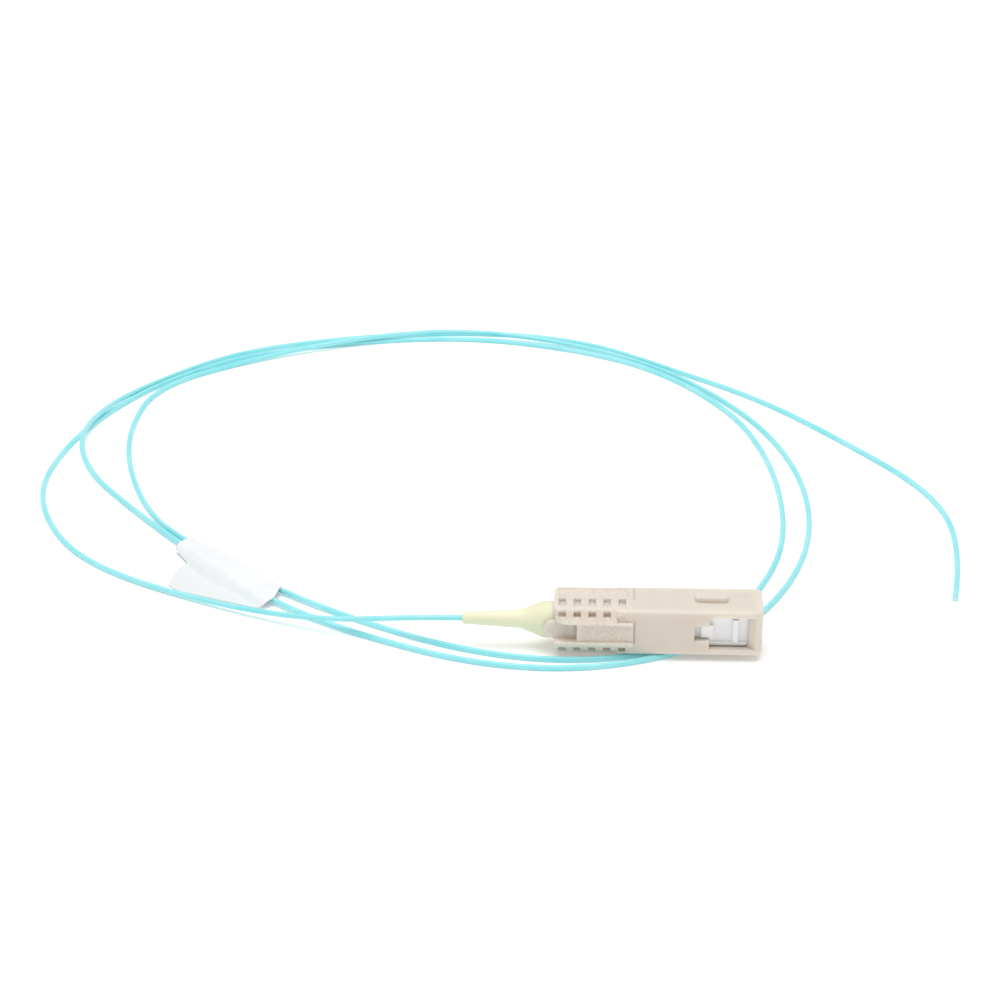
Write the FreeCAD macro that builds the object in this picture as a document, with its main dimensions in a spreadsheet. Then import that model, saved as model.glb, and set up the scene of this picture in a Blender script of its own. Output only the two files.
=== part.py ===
"""Square push-pull fibre pigtail: a connector with a sprung ferrule on a loosely looped 0.9 mm fibre.

Millimetres. The origin is the centre of the ferrule's tip. +X leaves the connector to its mate, and +Z is up
through the key on the housing's top face. The fibre lies on a floor below the connector.
"""
import FreeCAD, Part
import math
import os
import re
import Sketcher

SIZES = [
    ("ferrule_diameter", 2.5, "ferrule, outside"),
    ("ferrule_length", 10.5, "ferrule, from its tip to its rear end"),
    ("ferrule_chamfer", 0.35, "ferrule, chamfer at the tip"),
    ("ferrule_groove_depth", 0.17, "ferrule, ring groove where its free length ends"),
    ("ferrule_groove_width", 0.8, "ferrule, ring groove"),
    ("glass_diameter", 0.125, "bare glass fibre and the ferrule's capillary"),
    ("glass_length", 12.4, "bare glass fibre, from the tip"),
    ("fibre_diameter", 0.9, "fibre over its tight buffer"),
    ("fibre_clearance", 0.1, "radial room round the buffered fibre"),
    ("ferrule_travel", 1.0, "how far the ferrule is pushed back"),
    ("flange_length", 2.0, "ferrule flange, collar"),
    ("flange_sleeve_wall", 0.25, "ferrule flange, sleeve round the ferrule's rear end"),
    ("flange_sleeve_length", 1.2, "ferrule flange, least sleeve behind the collar"),
    ("flange_floor", 0.6, "ferrule flange, wall behind the ferrule's rear end"),
    ("flange_tail_wall", 0.4, "ferrule flange, tail tube"),
    ("flange_tail_length", 4.9, "ferrule flange, tail tube"),
    ("flange_slot_width", 0.7, "tuning slots in the flange's collar"),
    ("flange_slot_depth", 0.45, "tuning slots in the flange's collar"),
    ("flange_slots", 4, "number of tuning slots"),
    ("seat_gap", 0.1, "gap between parts that seat on each other"),
    ("frame_front", 0.6, "plug frame's front face, behind the tip"),
    ("frame_length", 18.4, "plug frame"),
    ("frame_round", 0.6, "plug frame, long edges"),
    ("frame_side_wall", 0.75, "plug frame, between its bores and its sides"),
    ("frame_roof_wall", 0.55, "plug frame, between its bores and its top and bottom"),
    ("frame_front_depth", 6.0, "plug frame, depth of the front bore"),
    ("web_thickness", 1.2, "plug frame, web that seats the flange"),
    ("ferrule_clearance", 0.1, "radial room round the ferrule in the web"),
    ("recess_depth", 0.35, "plug frame, latch recess in each side"),
    ("recess_height", 3.9, "plug frame, latch recess"),
    ("recess_length", 6.8, "plug frame, latch recess, from the front face"),
    ("ridge_rear", 4.4, "plug frame, latch ridge, behind the tip"),
    ("ridge_length", 0.85, "plug frame, latch ridge"),
    ("ridge_height", 3.7, "plug frame, latch ridge, across"),
    ("ridge_reach", 0.3, "plug frame, latch ridge, out of the side"),
    ("boss_rear", 9.3, "plug frame, stop boss, behind the tip"),
    ("boss_length", 1.9, "plug frame, stop boss"),
    ("boss_height", 2.15, "plug frame, stop boss, across"),
    ("boss_reach", 0.5, "plug frame, stop boss, out of the side"),
    ("snap_length", 1.2, "snap nub on the stop ring"),
    ("snap_width", 2.2, "snap nub on the stop ring"),
    ("snap_reach", 0.4, "snap nub, out of the stop ring's insert"),
    ("insert_length", 2.4, "stop ring, part inside the plug frame"),
    ("insert_clearance", 0.05, "radial room round the stop ring's insert"),
    ("collar_inset", 0.05, "stop ring, collar inside the plug frame's top and bottom"),
    ("collar_length", 1.6, "stop ring, collar"),
    ("post_wall", 1.15, "stop ring, post that carries the boot"),
    ("post_length", 9.4, "stop ring, post"),
    ("tail_clearance", 0.35, "radial room round the flange's tail in the stop ring"),
    ("post_front_depth", 3.2, "stop ring, depth of that bore"),
    ("barb_reach", 0.15, "stop ring, ridges that grip the boot"),
    ("barb_pitch", 2.4, "stop ring, spacing of those ridges"),
    ("spring_wire", 0.36, "spring wire"),
    ("spring_gap", 0.17, "radial room between the spring and the flange's sleeve"),
    ("bore_gap", 0.27, "radial room between the spring and the plug frame's bore"),
    ("collar_gap", 0.2, "radial room between the flange's collar and the plug frame's bore"),
    ("spring_turns", 4, "spring"),
    ("housing_front", 0.3, "outer housing's front face, ahead of the tip"),
    ("housing_length", 32.3, "outer housing, without its tongues"),
    ("housing_round", 0.5, "outer housing, long edges"),
    ("front_round", 1.8, "outer housing, front corners seen from above"),
    ("lip_round", 0.5, "outer housing, upper front edge seen from the side"),
    ("chin_round", 1.25, "outer housing, lower front edge seen from the side"),
    ("rear_round", 2.8, "outer housing, upper rear corners seen from above"),
    ("rear_low_round", 1.2, "outer housing, lower rear corners seen from above"),
    ("frame_clearance", 0.1, "room between the plug frame and the housing on each side"),
    ("side_wall", 1.35, "outer housing, side walls"),
    ("roof_wall", 0.75, "outer housing, top and bottom walls"),
    ("cavity_room", 0.3, "outer housing, square cavity behind the stop ring's collar"),
    ("boot_clearance", 0.15, "radial room round the boot's head in the housing"),
    ("latch_slot_height", 4.2, "outer housing, latch way in at the front"),
    ("latch_slot_reach", 0.25, "outer housing, latch way, out of the cavity"),
    ("window_rear", 8.05, "side window, behind the tip"),
    ("window_front", 0.75, "side window's front edge outside, behind the tip"),
    ("window_height", 5.4, "side window"),
    ("ramp_run", 1.55, "side window, slope of its front wall, along X"),
    ("ramp_round", 1.5, "side window, outer edge of that slope"),
    ("housing_forward", 0.8, "how far the housing slides ahead before its notch meets the boss"),
    ("notch_height", 2.5, "stop notch"),
    ("key_rear", 10.1, "key on the top face, behind the tip"),
    ("key_length", 4.9, "key"),
    ("key_width", 2.0, "key"),
    ("key_height", 0.8, "key"),
    ("key_round", 0.5, "key, corners seen from above"),
    ("grip_length", 12.3, "finger grip, from the rear"),
    ("groove_width", 0.22, "groove in front of the finger grip"),
    ("groove_depth", 0.12, "groove in front of the finger grip"),
    ("groove_start", 0.3, "that groove in the top face, past the middle"),
    ("shoulder_inset", 0.6, "where the grip's slope leaves the top face, from the side"),
    ("rail_reach", 0.6, "grip rails, out of the side"),
    ("rail_land", 0.3, "grip rails, flat outer edge"),
    ("channel_height", 3.0, "channel between the grip rails"),
    ("panel_reach", 0.2, "panel in the channel, out of the side"),
    ("panel_inset", 3.6, "deep rear part of the channel, along X"),
    ("tongue_wall", 0.45, "rear tongues"),
    ("relief_length", 2.5, "front stretch of the grip with no upper slope"),
    ("pit_first", 1.35, "middle of the first grip pit, from the rear"),
    ("pit_pitch", 2.3, "grip pits"),
    ("pit_width", 1.1, "grip pits, along X"),
    ("pit_count", 5, "grip pits in a row"),
    ("pit_depth", 0.5, "grip pits in the top face"),
    ("pit_length", 2.5, "grip pits in the top face, across"),
    ("pit_inset", 0.1, "grip pits in the top face, from the middle"),
    ("side_pit_rise", 2.5, "grip pits in the slopes, from the middle to their near edge"),
    ("side_pit_height", 0.8, "grip pits in the slopes"),
    ("side_pit_inset", 0.2, "grip pits in the slopes, floor inside the slope's upper edge"),
    ("field_inset", 0.8, "sunk field beside the pits, from the middle and the ends"),
    ("field_width", 2.7, "sunk field"),
    ("field_depth", 0.12, "sunk field"),
    ("boot_front_diameter", 5.2, "boot, front part inside the housing"),
    ("boot_head_diameter", 5.7, "boot, head"),
    ("boot_head_front", 28.0, "boot, front of the head, behind the tip"),
    ("boot_head_rear", 33.65, "boot, where head and flare meet, behind the tip"),
    ("flare_length", 3.65, "boot, flare behind the head"),
    ("flare_round", 3.0, "boot, bend from the head to the flare"),
    ("neck_diameter", 2.9, "boot, where the flare meets the neck"),
    ("neck_round", 2.0, "boot, bend from the flare to the neck"),
    ("neck_length", 8.9, "boot, neck"),
    ("boot_end_diameter", 1.9, "boot, rear end"),
    ("boot_end_round", 0.25, "boot, rear end"),
    ("exit_run", 7.3, "free fibre, on the connector's axis behind the boot"),
    ("fibre_gap", 0.1, "between the housing and the fibre that passes under it"),
    ("film_thickness", 0.15, "label film"),
    ("film_lift", 0.02, "label film above the floor"),
    ("mouth_height", 1.4, "label, low end of its loop"),
    ("mouth_far", 2.4, "label, far edge of its loop at the low end"),
    ("mouth_shoulder", 2.65, "label, where the low end starts to fall to the tab"),
    ("rise_start", 5.0, "label, where its loop starts to rise"),
    ("crown_start", 12.0, "label, where its loop is highest"),
    ("crown_height", 2.3, "label, where its loop is highest"),
    ("tail_height", 1.7, "label, other end of its loop"),
    ("tail_far", 2.15, "label, far edge of its loop at the other end"),
    ("tail_shoulder", 0.8, "label, where the other end starts to fall to the tab"),
    ("fall_slope", 1.2, "label, run of that fall for each millimetre of drop"),
    ("tab_reach", 9.0, "label, stuck tab beside the loop"),
    ("label_length", 31.0, "label, before its outline is cut"),
    ("label_lead", 4.0, "label, part of that length ahead of its start"),
]

# Free fibre behind its straight exit: x, y, and lift of its middle above its rest on the floor.
ROUTE = [
    # down to the floor and round the left
    (-67.5, 3.2, 1.9), (-83.1, 10.1, 0.4), (-103.2, 21.8, 0.0), (-115.4, 35.1, 0.0),
    (-122.9, 56.5, 0.0), (-121.3, 76.8, 0.0), (-116.4, 93.5, 0.0),
    # first pass along the back, second strand of three, then the inner one
    (-107.8, 109.9, 0.0), (-93.8, 124.2, 0.0), (-73.4, 132.1, 0.0), (-51.5, 135.4, 0.0), (-30.8, 131.0, 0.0),
    (-13.7, 118.1, 0.0),
    # down the right, under the connector and along the front
    (-0.5, 97.5, 0.0), (4.8, 76.5, 0.0), (6.6, 54.5, 0.0), (5.2, 33.8, 0.0), (-1.8, 13.2, 0.0),
    (-12.2, -1.0, 0.0), (-28.0, -6.4, 0.0), (-45.5, -3.2, 0.0), (-63.2, 7.2, 0.0),
    # through the label and up the inner left
    (-77.2, 17.7, 0.35), (-93.2, 34.5, 0.35), (-101.9, 47.2, 0.0), (-108.4, 66.9, 0.0), (-111.1, 86.1, 0.0),
    (-109.0, 107.0, 0.0),
    # second pass along the back, over the first
    (-91.3, 119.2, 0.0), (-72.5, 131.2, 1.15), (-51.5, 136.9, 1.15), (-30.0, 132.4, 0.0), (-12.6, 119.3, 0.0),
    # down the right again, outside the first turn
    (1.2, 98.4, 0.0), (8.6, 77.5, 0.0), (11.3, 55.0, 0.0), (9.2, 33.0, 0.0), (1.6, 12.0, 0.0),
    (-8.5, -0.6, 0.0), (-26.0, -8.9, 0.0), (-43.5, -7.6, 0.0), (-60.8, 1.0, 0.0),
    # through the label again and over the first turn on the left
    (-77.1, 12.4, 0.35), (-95.6, 35.6, 0.35), (-106.1, 50.9, 0.0), (-115.0, 65.0, 0.0), (-119.3, 79.0, 1.15),
    (-116.8, 93.3, 1.15),
    # third pass along the back, outermost, and away to the bare end
    (-110.0, 110.6, 0.0), (-94.6, 125.5, 0.0), (-74.3, 135.0, 0.0), (-50.5, 138.9, 0.0), (-28.0, 136.2, 0.0),
    (-10.5, 120.4, 0.0), (4.5, 104.5, 0.0), (18.0, 85.5, 0.0), (32.5, 62.0, 0.0), (35.6, 40.0, 0.0),
    (32.2, 18.5, 0.0),
]

# Where the label's loop starts and which way its strands run, seen from above.
LABEL_START = (-77.0, 15.5)
LABEL_TURN = 132.5
# Outline of the label seen from above: along the strands, then across them towards the tab.
LABEL_OUTLINE = [
    ("3.1", "-4.6"), ("-1.5", "1.4", "2.4", False), ("-1.4", "4.3"), ("12.6", "10.4", "2.88", False),
    ("15.6", "9.96", "13.9", False), ("20.1", "2.9"), ("25.2", "2.3"), ("26.2", "-4.6"),
]

V = FreeCAD.Vector
doc = FreeCAD.newDocument("pigtail")
sheet = doc.addObject("Spreadsheet::Sheet", "sizes")
for row, (alias, value, meaning) in enumerate(SIZES, start=1):
    sheet.set(f"A{row}", meaning)
    sheet.set(f"B{row}", str(value))
    sheet.setAlias(f"B{row}", alias)
doc.recompute()

ALIAS = re.compile(r"\b(" + "|".join(alias for alias, _, _ in SIZES) + r")\b")


def size(alias):
    """The sheet's value as a plain number."""
    return float(getattr(sheet, alias))


def bind(text):
    """An expression on the sheet's sizes, from their bare names."""
    return ALIAS.sub(lambda found: "sizes." + found.group(0), str(text))


def value_of(text):
    """The number that an expression stands for now, for a sketch's first guess."""
    return float(sheet.evalExpression(bind(text)))


def new_body(label):
    body = doc.addObject("PartDesign::Body", label)
    body.Label = label
    return body


def origin_feature(body, role):
    return next(feature for feature in body.Origin.OriginFeatures if feature.Role == role)


def new_sketch(body, name, plane, offset="0"):
    """A sketch on one of the body's own origin planes, moved along the plane's normal."""
    sketch = body.newObject("Sketcher::SketchObject", name)
    sketch.AttachmentSupport = [(origin_feature(body, plane), "")]
    sketch.MapMode = "FlatFace"
    sketch.setExpression("AttachmentOffset.Base.z", bind(f"({offset}) * 1 mm"))
    return sketch


def pin_point(sketch, edge, end, point):
    """Tie one end of a sketch edge to a place given by two expressions."""
    for kind, text in zip(("DistanceX", "DistanceY"), point):
        index = sketch.addConstraint(Sketcher.Constraint(kind, -1, 1, edge, end, value_of(text)))
        sketch.setExpression(f"Constraints[{index}]", bind(text))


def arc_through(start, end, radius, left):
    """Arc of a radius between two points, its middle to the left or right of the way from start to end."""
    chord = end - start
    half = chord.Length / 2
    side = V(-chord.y, chord.x, 0).normalize() * (1 if left else -1)
    centre = start + chord / 2 + side * math.sqrt(max(radius * radius - half * half, 0.0))
    first = math.atan2(start.y - centre.y, start.x - centre.x)
    last = math.atan2(end.y - centre.y, end.x - centre.x)
    circle = Part.Circle(centre, V(0, 0, 1), radius)
    if left:
        return Part.ArcOfCircle(circle, first, last), (1, 2)
    return Part.ArcOfCircle(circle, last, first), (2, 1)


def outline(sketch, points):
    """A closed outline. A point is (x, y), or (x, y, radius, left) for an arc on to the next point."""
    places = [V(value_of(p[0]), value_of(p[1]), 0) for p in points]
    edges = []
    for index, point in enumerate(points):
        start, end = places[index], places[(index + 1) % len(points)]
        if len(point) == 2:
            edges.append((sketch.addGeometry(Part.LineSegment(start, end)), (1, 2)))
        else:
            arc, ends = arc_through(start, end, value_of(point[2]), point[3])
            edge = sketch.addGeometry(arc)
            rule = sketch.addConstraint(Sketcher.Constraint("Radius", edge, value_of(point[2])))
            sketch.setExpression(f"Constraints[{rule}]", bind(point[2]))
            edges.append((edge, ends))
    for index, point in enumerate(points):
        edge, ends = edges[index]
        before, before_ends = edges[index - 1]
        sketch.addConstraint(Sketcher.Constraint("Coincident", before, before_ends[1], edge, ends[0]))
        pin_point(sketch, edge, ends[0], point[:2])
    return sketch


def rectangle(sketch, x0, x1, y0, y1):
    return outline(sketch, [(x0, y0), (x1, y0), (x1, y1), (x0, y1)])


def rounded_rectangle(sketch, half_width, half_height, radius, middle="0"):
    """A rectangle with rounded corners about a middle on the sketch's X axis."""
    left, right = f"({middle}) - ({half_width})", f"({middle}) + ({half_width})"
    b, r = half_height, radius
    return outline(sketch, [
        (f"{left} + {r}", f"-({b})"), (f"{right} - {r}", f"-({b})", r, True),
        (right, f"-({b}) + {r}"), (right, f"{b} - {r}", r, True),
        (f"{right} - {r}", f"{b}"), (f"{left} + {r}", f"{b}", r, True),
        (left, f"{b} - {r}"), (left, f"-({b}) + {r}", r, True),
    ])


def circle(sketch, diameter):
    edge = sketch.addGeometry(Part.Circle(V(0, 0, 0), V(0, 0, 1), value_of(f"({diameter}) / 2")))
    sketch.addConstraint(Sketcher.Constraint("Coincident", edge, 3, -1, 1))
    rule = sketch.addConstraint(Sketcher.Constraint("Diameter", edge, value_of(diameter)))
    sketch.setExpression(f"Constraints[{rule}]", bind(diameter))
    return sketch


def extrude(body, kind, sketch, length, backwards=False, both_ways=False):
    """A Pad along the sketch's normal, or a Pocket against it; backwards turns either round."""
    feature = body.newObject(f"PartDesign::{kind}", f"{kind}_{sketch.Name}")
    feature.Profile = sketch
    feature.Reversed = backwards
    if both_ways:
        feature.SideType = "Symmetric"
    feature.setExpression("Length", bind(f"({length}) * 1 mm"))
    sketch.Visibility = False
    return feature


def pad(body, sketch, length, **ways):
    return extrude(body, "Pad", sketch, length, **ways)


def pocket(body, sketch, length, **ways):
    return extrude(body, "Pocket", sketch, length, **ways)


def revolve(body, sketch):
    """A full turn of the sketch about its own X axis."""
    feature = body.newObject("PartDesign::Revolution", f"Turn_{sketch.Name}")
    feature.Profile = sketch
    feature.ReferenceAxis = (sketch, ["H_Axis"])
    feature.Angle = 360.0
    return feature


def row_along_x(body, name, originals, count, pitch):
    """Repeat features along X."""
    pattern = body.newObject("PartDesign::LinearPattern", name)
    pattern.Originals = originals
    pattern.Direction = (origin_feature(body, "X_Axis"), [""])
    pattern.Mode = "Spacing"
    pattern.setExpression("Offset", bind(f"({pitch}) * 1 mm"))
    pattern.setExpression("Occurrences", bind(count))
    body.Tip = pattern
    return pattern


def mirrored(body, name, originals, plane):
    pattern = body.newObject("PartDesign::Mirrored", name)
    pattern.Originals = originals
    pattern.MirrorPlane = (origin_feature(body, plane), [""])
    body.Tip = pattern
    return pattern


# Radii and half sizes, from the ferrule outwards.
SLEEVE = "(ferrule_diameter / 2 + flange_sleeve_wall)"
SPRING = f"({SLEEVE} + spring_gap + spring_wire / 2)"
FRAME_BORE = f"({SPRING} + spring_wire / 2 + bore_gap)"
FRAME_HALF = f"({FRAME_BORE} + frame_side_wall)"
FRAME_RISE = f"({FRAME_BORE} + frame_roof_wall)"
CAVITY_HALF = f"({FRAME_HALF} + frame_clearance)"
CAVITY_RISE = f"({FRAME_RISE} + frame_clearance)"
HOUSING_HALF = f"({CAVITY_HALF} + side_wall)"
HOUSING_RISE = f"({CAVITY_RISE} + roof_wall)"
INSERT_RADIUS = f"({FRAME_BORE} - insert_clearance)"
FIBRE_BORE = "(fibre_diameter / 2 + fibre_clearance)"
FLANGE_TAIL = f"({FIBRE_BORE} + flange_tail_wall)"
POST = f"({FIBRE_BORE} + post_wall)"
REAR_BORE = "(boot_head_diameter / 2 + boot_clearance)"
TONGUE_INSIDE = f"({REAR_BORE} + seat_gap / 2)"
TONGUE_OUTSIDE = f"({TONGUE_INSIDE} + tongue_wall)"
FLOOR = f"(-{HOUSING_RISE} - fibre_diameter - fibre_gap)"
FAR = "housing_length"

# Places along X that more than one piece uses, from the front backwards.
HOUSING_REAR = "(housing_front - housing_length)"
GRIP_FRONT = f"({HOUSING_REAR} + grip_length)"
NOTCH_REAR = "(-boss_rear - housing_forward - 2 * seat_gap)"
FRAME_REAR = "(-frame_front - frame_length)"
WEB_FRONT = "(-frame_front - frame_front_depth)"
WEB_REAR = f"({WEB_FRONT} - web_thickness)"
FLANGE_FRONT = f"({WEB_REAR} - seat_gap)"
FLANGE_REAR = f"({FLANGE_FRONT} - flange_length)"
FERRULE_REAR = "(-ferrule_length)"
SLEEVE_REAR = f"min({FLANGE_REAR} - flange_sleeve_length; {FERRULE_REAR} - flange_floor)"
FIBRE_FRONT = "(-glass_length - ferrule_travel - seat_gap)"
STOP_FRONT = f"({FRAME_REAR} + insert_length)"
NUB_REAR = f"({FRAME_REAR} + (insert_length - snap_length) / 2)"
COLLAR_REAR = f"({FRAME_REAR} - collar_length)"
CAVITY_REAR = f"({COLLAR_REAR} - cavity_room)"
POST_REAR = f"({COLLAR_REAR} - post_length)"
NECK_FRONT = "(-boot_head_rear - flare_length)"
BOOT_END = f"({NECK_FRONT} - neck_length)"


def outside_corner(sketch, corner_x, corner_y, radius, towards_x, towards_y):
    """The waste outside one rounded corner of a plan: an arc, then out past the corner and back."""
    sx, sy, r = towards_x, towards_y, radius
    start = (f"{corner_x} - ({sx}) * {r}", corner_y)
    end = (corner_x, f"{corner_y} - ({sy}) * {r}")
    outside_x = f"{corner_x} + ({sx}) * {r}"
    outside_y = f"{corner_y} + ({sy}) * {r}"
    turns_left = sx * sy < 0
    outline(sketch, [
        (*start, r, turns_left), end, (outside_x, end[1]), (outside_x, outside_y), (start[0], outside_y),
    ])


def make_outer_housing():
    """The grip housing: a square tube with a key, latch windows, a finger grip and two rear tongues."""
    body = new_body("outer_housing")
    half_width, half_height = HOUSING_HALF, HOUSING_RISE

    # The grip's section: sloping shoulders down to two rails a side, with a channel between them.
    shoulder = f"({half_width} - shoulder_inset)"
    rail, panel = f"({half_width} + rail_reach)", f"({half_width} + panel_reach)"
    channel, land = "(channel_height / 2)", "(channel_height / 2 + rail_land)"
    quarter = [(shoulder, half_height), (rail, land), (rail, channel), (panel, channel)]
    lower = [(y, f"-{z}") for y, z in reversed(quarter)]
    right = quarter + lower
    left = [(f"-{y}", z) for y, z in reversed(right)]
    section = new_sketch(body, "grip_section", "YZ_Plane", HOUSING_REAR)
    pad(body, outline(section, right + left), "grip_length")

    # The upper slopes stop short of the grip's front end.
    relief = new_sketch(body, "grip_relief", "YZ_Plane", f"{GRIP_FRONT} - relief_length")
    rectangle(relief, half_width, f"{half_width} + {FAR}", land, FAR)
    rectangle(relief, f"-{half_width} - {FAR}", f"-{half_width}", land, FAR)
    pocket(body, relief, f"relief_length + {FAR}", backwards=True)

    # The smooth front part starts inside the grip, where the slopes stop.
    smooth = new_sketch(body, "smooth_section", "YZ_Plane", "housing_front")
    rounded_rectangle(smooth, half_width, half_height, "housing_round")
    pad(body, smooth, "housing_length - grip_length + relief_length", backwards=True)

    # Corners, seen from above and from the side.
    plan = new_sketch(body, "plan_corners", "XY_Plane")
    side = new_sketch(body, "side_corners", "XZ_Plane")
    for sign, front_edge in ((1, "lip_round"), (-1, "chin_round")):
        outside_corner(plan, "housing_front", f"({sign} * {half_width})", "front_round", 1, sign)
        outside_corner(side, "housing_front", f"({sign} * {half_height})", front_edge, 1, sign)
    pocket(body, plan, f"2 * {FAR}", both_ways=True)
    pocket(body, side, f"2 * {FAR}", both_ways=True)
    for half, radius in (("upper", "rear_round"), ("lower", "rear_low_round")):
        rear = new_sketch(body, f"{half}_rear_corners", "XY_Plane")
        for sign in (1, -1):
            outside_corner(rear, HOUSING_REAR, f"({sign} * {rail})", radius, -1, sign)
        pocket(body, rear, FAR, backwards=half == "upper")

    # A shallow groove where the smooth part meets the grip.
    groove = new_sketch(body, "grip_groove", "YZ_Plane", GRIP_FRONT)
    for sign in (1, -1):
        rectangle(groove, f"{sign} * ({half_width} - groove_depth)", f"{sign} * {FAR}", f"-{land}", land)
        rectangle(groove, f"{-sign} * groove_start", f"{sign} * {shoulder}",
                  f"{sign} * ({half_height} - groove_depth)", f"{sign} * {FAR}")
    pocket(body, groove, "groove_width", backwards=True)

    # The rear end of the channel is cut deeper, down to the tongues' outside.
    deep = new_sketch(body, "deep_channel", "YZ_Plane", HOUSING_REAR)
    rectangle(deep, TONGUE_OUTSIDE, FAR, f"-{channel}", channel)
    rectangle(deep, f"-{FAR}", f"-{TONGUE_OUTSIDE}", f"-{channel}", channel)
    pocket(body, deep, "panel_inset", backwards=True)

    # A round-ended tongue leaves the channel to the rear on each side.
    tongue = new_sketch(body, "tongue", "XZ_Plane", TONGUE_INSIDE)
    root = f"{HOUSING_REAR} + panel_inset / 2"
    outline(tongue, [
        (root, f"-{channel}"), (root, channel), (HOUSING_REAR, channel, channel, True),
        (f"{HOUSING_REAR} - {channel}", "0", channel, True), (HOUSING_REAR, f"-{channel}"),
    ])
    one_tongue = pad(body, tongue, "tongue_wall")
    mirrored(body, "both_tongues", [one_tongue], "XZ_Plane")

    # The square cavity for the plug frame, the round one for the boot, and the way in for a mating latch.
    cavity = new_sketch(body, "cavity", "YZ_Plane", "housing_front")
    rectangle(cavity, f"-{CAVITY_HALF}", CAVITY_HALF, f"-{CAVITY_RISE}", CAVITY_RISE)
    pocket(body, cavity, f"housing_front - {CAVITY_REAR}")
    bore = new_sketch(body, "rear_bore", "YZ_Plane", HOUSING_REAR)
    circle(bore, f"2 * {REAR_BORE}")
    pocket(body, bore, f"{CAVITY_REAR} - {HOUSING_REAR} + seat_gap", backwards=True)
    slot = new_sketch(body, "latch_way", "YZ_Plane", "housing_front")
    slot_half = f"({CAVITY_HALF} + latch_slot_reach)"
    rectangle(slot, f"-{slot_half}", slot_half, "-latch_slot_height / 2", "latch_slot_height / 2")
    pocket(body, slot, "housing_front + window_front + 2 * ramp_run")

    # Side windows with a sloping front wall, rounded where it starts, and the stop notch behind each.
    window = new_sketch(body, "windows", "XY_Plane")
    notch = new_sketch(body, "stop_notches", "XY_Plane")
    inside, outside = f"({CAVITY_HALF} - frame_clearance / 2)", f"({half_width} + side_wall)"
    slope = "sqrt(ramp_run * ramp_run + side_wall * side_wall)"
    trim = f"(ramp_round * ({slope} - ramp_run) / side_wall)"
    edge_front = f"-window_front + {trim}"
    edge_rear = f"-window_front - {trim} * ramp_run / {slope}"
    edge_drop = f"({half_width} - {trim} * side_wall / {slope})"
    ramp_end = f"-window_front - ({half_width} - {inside}) * ramp_run / side_wall"
    for sign in (1, -1):
        outline(window, [
            ("-window_rear", f"{sign} * {inside}"), ("-window_rear", f"{sign} * {outside}"),
            (edge_front, f"{sign} * {outside}"),
            (edge_front, f"{sign} * {half_width}", "ramp_round", sign > 0),
            (edge_rear, f"{sign} * {edge_drop}"), (ramp_end, f"{sign} * {inside}"),
        ])
        rectangle(notch, NOTCH_REAR, "-window_rear + seat_gap", f"{sign} * {inside}", f"{sign} * {outside}")
    pocket(body, window, "window_height", both_ways=True)
    pocket(body, notch, "notch_height", both_ways=True)

    # The key.
    key = new_sketch(body, "key", "XY_Plane", half_height)
    key_middle = "-key_rear + key_length / 2"
    rounded_rectangle(key, "key_length / 2", "key_width / 2", "key_round", key_middle)
    pad(body, key, "key_height")

    # Grip pits in the top and bottom faces, a sunk field beside them, and pits in the slopes.
    pit_from = f"({HOUSING_REAR} + pit_first - pit_width / 2)"
    pit_to = f"({HOUSING_REAR} + pit_first + pit_width / 2)"
    for sign, face in ((1, "top"), (-1, "bottom")):
        height = f"({sign} * {half_height})"
        under = sign < 0
        pits = new_sketch(body, f"{face}_pits", "XY_Plane", height)
        rectangle(pits, pit_from, pit_to, f"{-sign} * pit_inset", f"{-sign} * (pit_inset + pit_length)")
        one_pit = pocket(body, pits, "pit_depth", backwards=under)
        row_along_x(body, f"{face}_pit_row", [one_pit], "pit_count", "pit_pitch")
        field = new_sketch(body, f"{face}_field", "XY_Plane", height)
        rectangle(field, f"{HOUSING_REAR} + field_inset", f"{GRIP_FRONT} - field_inset",
                  f"{sign} * field_inset", f"{sign} * (field_inset + field_width)")
        pocket(body, field, "field_depth", backwards=under)
        pair = []
        for side_sign, where in ((1, "near"), (-1, "far")):
            slope_pit = new_sketch(body, f"{face}_{where}_pits", "XZ_Plane",
                                   f"{side_sign} * ({shoulder} - side_pit_inset)")
            rectangle(slope_pit, pit_from, pit_to,
                      f"{sign} * side_pit_rise", f"{sign} * (side_pit_rise + side_pit_height)")
            pair.append(pocket(body, slope_pit, FAR, backwards=side_sign > 0))
        count = "pit_count" if under else "pit_count - 1"
        row_along_x(body, f"{face}_side_pit_row", pair, count, "pit_pitch")
    return body


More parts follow.
